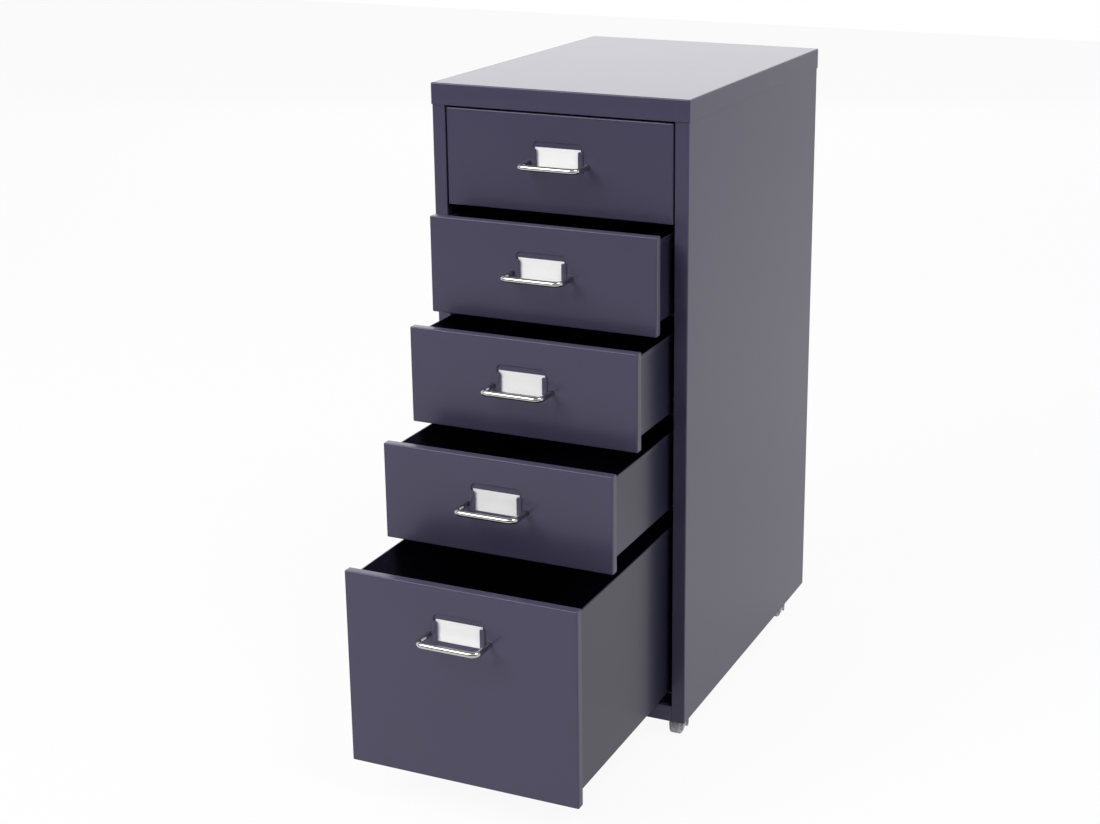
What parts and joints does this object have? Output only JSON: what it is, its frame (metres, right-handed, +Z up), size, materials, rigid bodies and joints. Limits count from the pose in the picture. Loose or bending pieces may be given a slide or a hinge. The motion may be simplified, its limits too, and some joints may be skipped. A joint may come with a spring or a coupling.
{
  "type": "drawer cabinet",
  "caption": "Small upright sheet-metal drawer cabinet on castors: shallow drawers above a deep one, each with a label pocket and a wire handle.",
  "frame": {"origin": "centre of the bounding box's bottom face, on the floor, with the drawers open as in the rest pose", "axes": "+X across the cabinet, to the right of a person who faces the drawers; -Y the way the drawers open; +Z up"},
  "size_m": [0.288, 0.6748, 0.696],
  "materials": {
    "slate_paint": "semi-gloss dark slate powder paint",
    "bright_wire": "polished nickel plate",
    "white_card": "plain white card",
    "zinc_steel": "zinc plated",
    "castor_nylon": "moulded grey nylon",
    "glide_nylon": "moulded natural nylon"
  },
  "bodies": {
    "cabinet": {"top_cover": "slate_paint", "left_side_panel": "slate_paint", "right_side_panel": "slate_paint", "back_panel": "slate_paint", "base_pan": "slate_paint", "runner_left_1": "slate_paint", "runner_right_1": "slate_paint", "runner_left_2": "slate_paint", "runner_right_2": "slate_paint", "runner_left_3": "slate_paint", "runner_right_3": "slate_paint", "runner_left_4": "slate_paint", "runner_right_4": "slate_paint", "runner_left_5": "slate_paint", "runner_right_5": "slate_paint", "castor_stems": "zinc_steel", "castor_nuts": "zinc_steel", "body_screws": "zinc_steel"},
    "drawer_1": {"drawer_front_1": "slate_paint", "drawer_box_1": "slate_paint", "drawer_handle_1": "bright_wire", "handle_nuts_1": "zinc_steel", "label_card_1": "white_card", "drawer_glides_1": "glide_nylon"},
    "drawer_2": {"drawer_front_2": "slate_paint", "drawer_box_2": "slate_paint", "drawer_handle_2": "bright_wire", "handle_nuts_2": "zinc_steel", "label_card_2": "white_card", "drawer_glides_2": "glide_nylon"},
    "drawer_3": {"drawer_front_3": "slate_paint", "drawer_box_3": "slate_paint", "drawer_handle_3": "bright_wire", "handle_nuts_3": "zinc_steel", "label_card_3": "white_card", "drawer_glides_3": "glide_nylon"},
    "drawer_4": {"drawer_front_4": "slate_paint", "drawer_box_4": "slate_paint", "drawer_handle_4": "bright_wire", "handle_nuts_4": "zinc_steel", "label_card_4": "white_card", "drawer_glides_4": "glide_nylon"},
    "drawer_5": {"drawer_front_5": "slate_paint", "drawer_box_5": "slate_paint", "drawer_handle_5": "bright_wire", "handle_nuts_5": "zinc_steel", "label_card_5": "white_card", "drawer_glides_5": "glide_nylon"},
    "front_left_fork": {"castor_fork_front_left": "castor_nylon", "castor_axle_front_left": "zinc_steel"},
    "front_left_wheel": {"castor_wheel_front_left": "castor_nylon"},
    "front_right_fork": {"castor_fork_front_right": "castor_nylon", "castor_axle_front_right": "zinc_steel"},
    "front_right_wheel": {"castor_wheel_front_right": "castor_nylon"},
    "rear_left_fork": {"castor_fork_rear_left": "castor_nylon", "castor_axle_rear_left": "zinc_steel"},
    "rear_left_wheel": {"castor_wheel_rear_left": "castor_nylon"},
    "rear_right_fork": {"castor_fork_rear_right": "castor_nylon", "castor_axle_rear_right": "zinc_steel"},
    "rear_right_wheel": {"castor_wheel_rear_right": "castor_nylon"}
  },
  "joints": [
    {"name": "drawer_1_slide", "type": "slide", "parent": "cabinet", "child": "drawer_1", "axis": [0, -1, 0], "range_m": [0, 0.3]},
    {"name": "drawer_2_slide", "type": "slide", "parent": "cabinet", "child": "drawer_2", "axis": [0, -1, 0], "range_m": [-0.042, 0.258]},
    {"name": "drawer_3_slide", "type": "slide", "parent": "cabinet", "child": "drawer_3", "axis": [0, -1, 0], "range_m": [-0.09, 0.21]},
    {"name": "drawer_4_slide", "type": "slide", "parent": "cabinet", "child": "drawer_4", "axis": [0, -1, 0], "range_m": [-0.151, 0.149]},
    {"name": "drawer_5_slide", "type": "slide", "parent": "cabinet", "child": "drawer_5", "axis": [0, -1, 0], "range_m": [-0.2345, 0.0655]},
    {"name": "front_left_swivel", "type": "hinge", "parent": "cabinet", "child": "front_left_fork", "pos_m": [-0.129, -0.04605, 0.0345], "axis": [0, 0, 1], "continuous": true},
    {"name": "front_right_swivel", "type": "hinge", "parent": "cabinet", "child": "front_right_fork", "pos_m": [0.129, -0.04605, 0.0345], "axis": [0, 0, 1], "continuous": true},
    {"name": "rear_left_swivel", "type": "hinge", "parent": "cabinet", "child": "rear_left_fork", "pos_m": [-0.129, 0.28015, 0.0345], "axis": [0, 0, 1], "continuous": true},
    {"name": "rear_right_swivel", "type": "hinge", "parent": "cabinet", "child": "rear_right_fork", "pos_m": [0.129, 0.28015, 0.0345], "axis": [0, 0, 1], "continuous": true},
    {"name": "front_left_roll", "type": "hinge", "parent": "front_left_fork", "child": "front_left_wheel", "pos_m": [-0.129, -0.05805, 0.0098], "axis": [1, 0, 0], "continuous": true},
    {"name": "front_right_roll", "type": "hinge", "parent": "front_right_fork", "child": "front_right_wheel", "pos_m": [0.129, -0.05805, 0.0098], "axis": [1, 0, 0], "continuous": true},
    {"name": "rear_left_roll", "type": "hinge", "parent": "rear_left_fork", "child": "rear_left_wheel", "pos_m": [-0.129, 0.26815, 0.0098], "axis": [1, 0, 0], "continuous": true},
    {"name": "rear_right_roll", "type": "hinge", "parent": "rear_right_fork", "child": "rear_right_wheel", "pos_m": [0.129, 0.26815, 0.0098], "axis": [1, 0, 0], "continuous": true}
  ]
}
